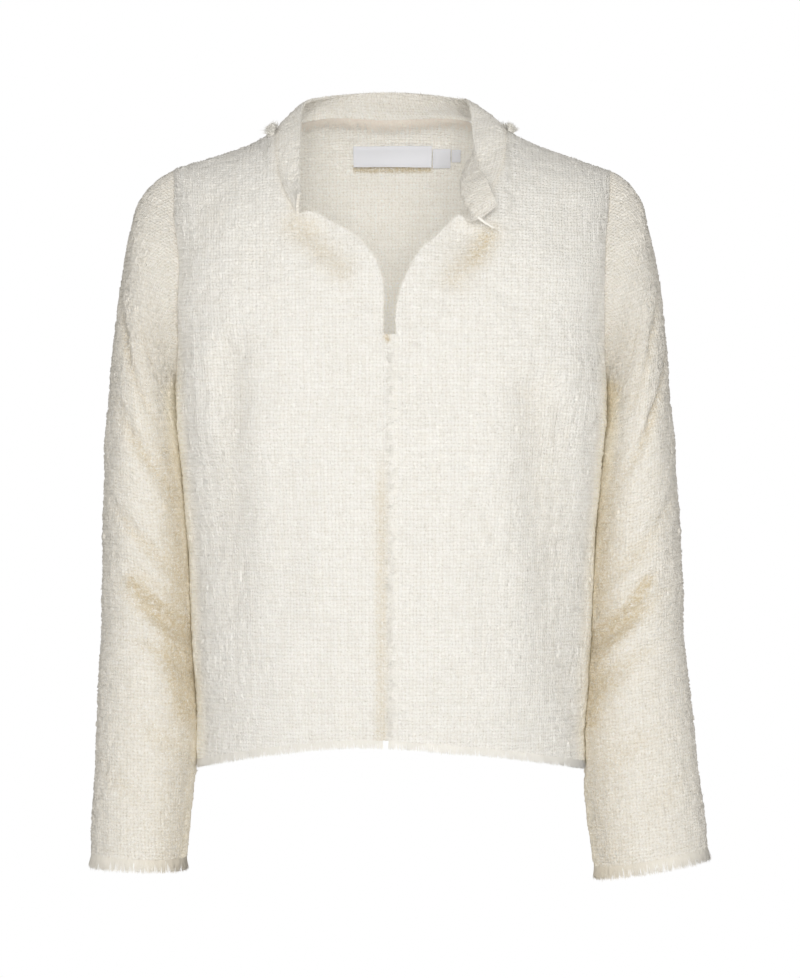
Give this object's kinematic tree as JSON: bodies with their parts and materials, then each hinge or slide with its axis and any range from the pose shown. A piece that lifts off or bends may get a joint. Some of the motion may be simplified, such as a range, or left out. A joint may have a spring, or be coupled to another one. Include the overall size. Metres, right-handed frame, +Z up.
{
  "type": "cropped tweed jacket",
  "caption": "Collared cropped jacket of open basket-weave tweed, with long set-in sleeves, edges frayed at the front, hem and cuffs, and a hidden hook, filled out as it is worn.",
  "frame": {"origin": "midway between the two shoulder-neck points, level with them, where the wearer's shoulders carry the jacket", "axes": "+X to the wearer's left, -Y to the front, +Z up"},
  "size_m": [0.5338, 0.229, 0.6888],
  "materials": {
    "tweed": "ivory basket-weave bouclé with a fine metallic glint",
    "frayed_yarn": "loose ivory yarn ends",
    "label_cloth": "smooth white woven tape"
  },
  "bodies": {
    "root": {"back": "tweed", "front_left": "tweed", "front_right": "tweed", "sleeve_left": "tweed", "sleeve_right": "tweed", "collar": "tweed", "front_fringe_left": "frayed_yarn", "hem_fringe_back": "frayed_yarn", "hem_fringe_left": "frayed_yarn", "hem_fringe_right": "frayed_yarn", "cuff_fringe_left": "frayed_yarn", "cuff_fringe_right": "frayed_yarn", "neck_fringe_back": "frayed_yarn", "neck_fringe_left": "frayed_yarn", "neck_fringe_right": "frayed_yarn", "neck_label": "label_cloth", "size_tab": "label_cloth", "care_tab": "label_cloth"}
  },
  "joints": []
}
